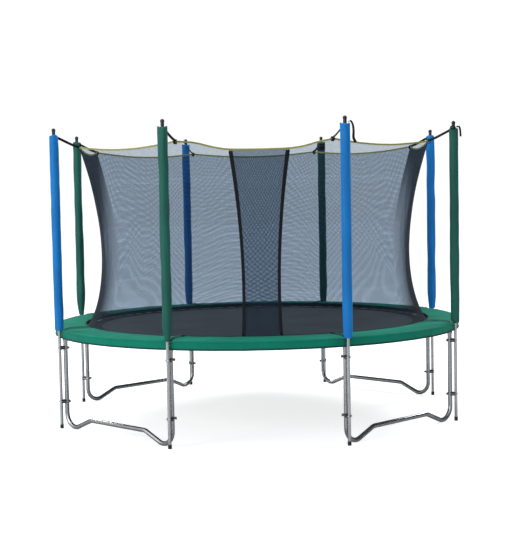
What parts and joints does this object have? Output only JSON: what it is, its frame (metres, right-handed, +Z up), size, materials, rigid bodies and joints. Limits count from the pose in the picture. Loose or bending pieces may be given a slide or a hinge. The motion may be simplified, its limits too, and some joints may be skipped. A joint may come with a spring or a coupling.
{
  "type": "trampoline",
  "caption": "Round garden trampoline on W-shaped legs, with padded poles, a safety net with an entrance flap, and a padded ring over the springs.",
  "frame": {"origin": "on the ground under the middle of the mat, which is the middle of the base of the object's box", "axes": "+Z up, -Y towards the entrance in the net, +X to the right seen from the entrance side"},
  "size_m": [3.6838, 3.6838, 2.6],
  "materials": {
    "galvanised_tube": "galvanised, satin",
    "zinc_wire": "zinc plated",
    "black_plastic": "moulded",
    "blue_cover": "coated cloth",
    "green_cover": "coated cloth",
    "foam": "closed-cell foam",
    "green_pad": "coated cloth over foam",
    "mat_fabric": "woven",
    "mat_webbing": "webbing",
    "net_mesh": "knitted mesh",
    "yellow_hem": "tape",
    "black_webbing": "webbing"
  },
  "bodies": {
    "frame": {"top_rail_1": "galvanised_tube", "top_rail_2": "galvanised_tube", "top_rail_3": "galvanised_tube", "top_rail_4": "galvanised_tube", "top_rail_5": "galvanised_tube", "top_rail_6": "galvanised_tube", "top_rail_7": "galvanised_tube", "top_rail_8": "galvanised_tube", "rail_spigots": "galvanised_tube", "rail_sockets": "galvanised_tube", "rail_screws": "zinc_wire", "leg_base_1": "galvanised_tube", "leg_base_2": "galvanised_tube", "leg_base_3": "galvanised_tube", "leg_base_4": "galvanised_tube", "leg_upright_1": "galvanised_tube", "leg_upright_2": "galvanised_tube", "leg_upright_3": "galvanised_tube", "leg_upright_4": "galvanised_tube", "leg_upright_5": "galvanised_tube", "leg_upright_6": "galvanised_tube", "leg_upright_7": "galvanised_tube", "leg_upright_8": "galvanised_tube", "pole_lower_1": "galvanised_tube", "pole_lower_2": "galvanised_tube", "pole_lower_3": "galvanised_tube", "pole_lower_4": "galvanised_tube", "pole_lower_5": "galvanised_tube", "pole_lower_6": "galvanised_tube", "pole_lower_7": "galvanised_tube", "pole_lower_8": "galvanised_tube", "pole_upper_tubes": "galvanised_tube", "pole_feet": "black_plastic", "pole_caps": "black_plastic", "foam_tubes": "foam", "pole_cover_1": "blue_cover", "pole_cover_2": "green_cover", "pole_cover_3": "blue_cover", "pole_cover_4": "green_cover", "pole_cover_5": "blue_cover", "pole_cover_6": "green_cover", "pole_cover_7": "blue_cover", "pole_cover_8": "green_cover", "clamp_blocks": "black_plastic", "clamp_plates": "galvanised_tube", "u_bolts": "zinc_wire", "u_bolt_nuts": "black_plastic", "frame_pad": "green_pad", "pad_ties": "black_webbing", "springs": "zinc_wire", "safety_net": "net_mesh", "net_top_hem": "yellow_hem", "net_foot_hem": "black_webbing", "entrance_tapes": "black_webbing", "net_top_straps": "black_webbing", "net_foot_straps": "black_webbing"},
    "mat": {"jumping_mat": "mat_fabric", "mat_edge_webbing": "mat_webbing", "v_rings": "zinc_wire"},
    "flap": {"entrance_flap": "net_mesh"}
  },
  "joints": [
    {"name": "mat_bounce", "type": "slide", "parent": "frame", "child": "mat", "axis": [0, 0, 1], "range_m": [-0.3, 0], "stiffness_N_per_m": 4500, "springref_m": 0.06, "deforming": ["springs"]},
    {"name": "entrance_flap_swing", "type": "hinge", "parent": "frame", "child": "flap", "pos_m": [-0.204, -1.395, 0], "axis": [0, 0, 1], "range_deg": [0, 60], "stiffness_Nm_per_rad": 0.4}
  ]
}
